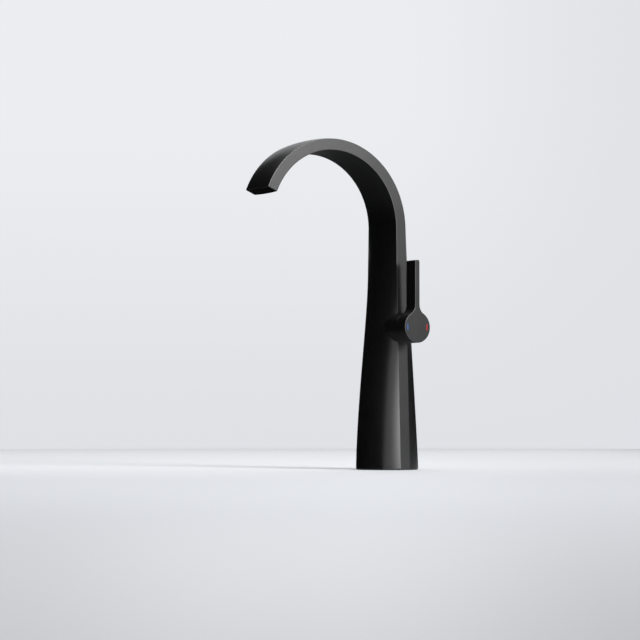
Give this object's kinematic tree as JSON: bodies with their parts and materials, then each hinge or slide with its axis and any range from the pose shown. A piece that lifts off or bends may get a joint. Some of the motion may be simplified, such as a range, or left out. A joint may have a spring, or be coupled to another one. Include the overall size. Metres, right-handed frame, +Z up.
{
  "type": "basin mixer tap",
  "caption": "Tall single-lever basin mixer with a flat-band swan-neck spout that swells to a round foot, and a side lever that turns for temperature and tilts for flow.",
  "frame": {"origin": "centre of the foot on the deck plane, under the deck seal", "axes": "+Z up, -Y towards the user and the nozzle, +X towards the side lever"},
  "size_m": [0.084, 0.1897, 0.3319],
  "materials": {
    "matt_black": "fine matt black coating over cast brass",
    "black_rubber": "plain moulded rubber",
    "plain_brass": "turned brass",
    "bright_steel": "stainless steel",
    "white_tube": "drawn plastic water tube",
    "black_plastic": "moulded plastic",
    "grey_plastic": "moulded plastic",
    "white_ceramic": "lapped ceramic, opaque",
    "blue_enamel": "filled mark",
    "red_enamel": "filled mark"
  },
  "bodies": {
    "tap_body": {"body_shell": "matt_black", "deck_seal": "black_rubber", "foot_plate": "plain_brass", "foot_screws": "bright_steel", "cold_inlet_tube": "plain_brass", "hot_inlet_tube": "plain_brass", "inlet_tube_seals": "black_rubber", "valve_block": "plain_brass", "spout_tube": "white_tube", "spout_tube_seal": "black_rubber", "outlet_manifold": "black_plastic", "aerator_seal": "black_rubber", "aerator_frame": "black_plastic", "aerator_grid": "black_plastic", "port_seals": "black_rubber", "cartridge_base": "grey_plastic", "fixed_disc": "white_ceramic", "cartridge_case": "grey_plastic", "cartridge_nut": "plain_brass", "hub_dome": "matt_black"},
    "turret": {"spindle_turret": "grey_plastic", "turret_seal": "black_rubber", "pivot_pin": "bright_steel"},
    "mixing_disc": {"moving_disc": "white_ceramic", "disc_carrier": "grey_plastic"},
    "handle": {"lever": "matt_black", "spindle": "plain_brass", "grub_screw": "bright_steel", "screw_cap": "black_plastic", "cold_mark": "blue_enamel", "hot_mark": "red_enamel"}
  },
  "joints": [
    {"name": "temperature_turn", "type": "hinge", "parent": "tap_body", "child": "turret", "pos_m": [0.0242, 0, 0.143], "axis": [1, 0, 0], "range_deg": [-45, 45]},
    {"name": "flow_tilt", "type": "hinge", "parent": "turret", "child": "handle", "pos_m": [0.0242, 0, 0.143], "axis": [0, 1, 0], "range_deg": [0, 20]},
    {"name": "disc_slide", "type": "slide", "parent": "turret", "child": "mixing_disc", "axis": [0, 0, 1], "range_m": [0, 0.0024]}
  ],
  "couplings": [
    {"joint": "disc_slide", "follows": "flow_tilt", "m_per_rad": 0.0066}
  ]
}
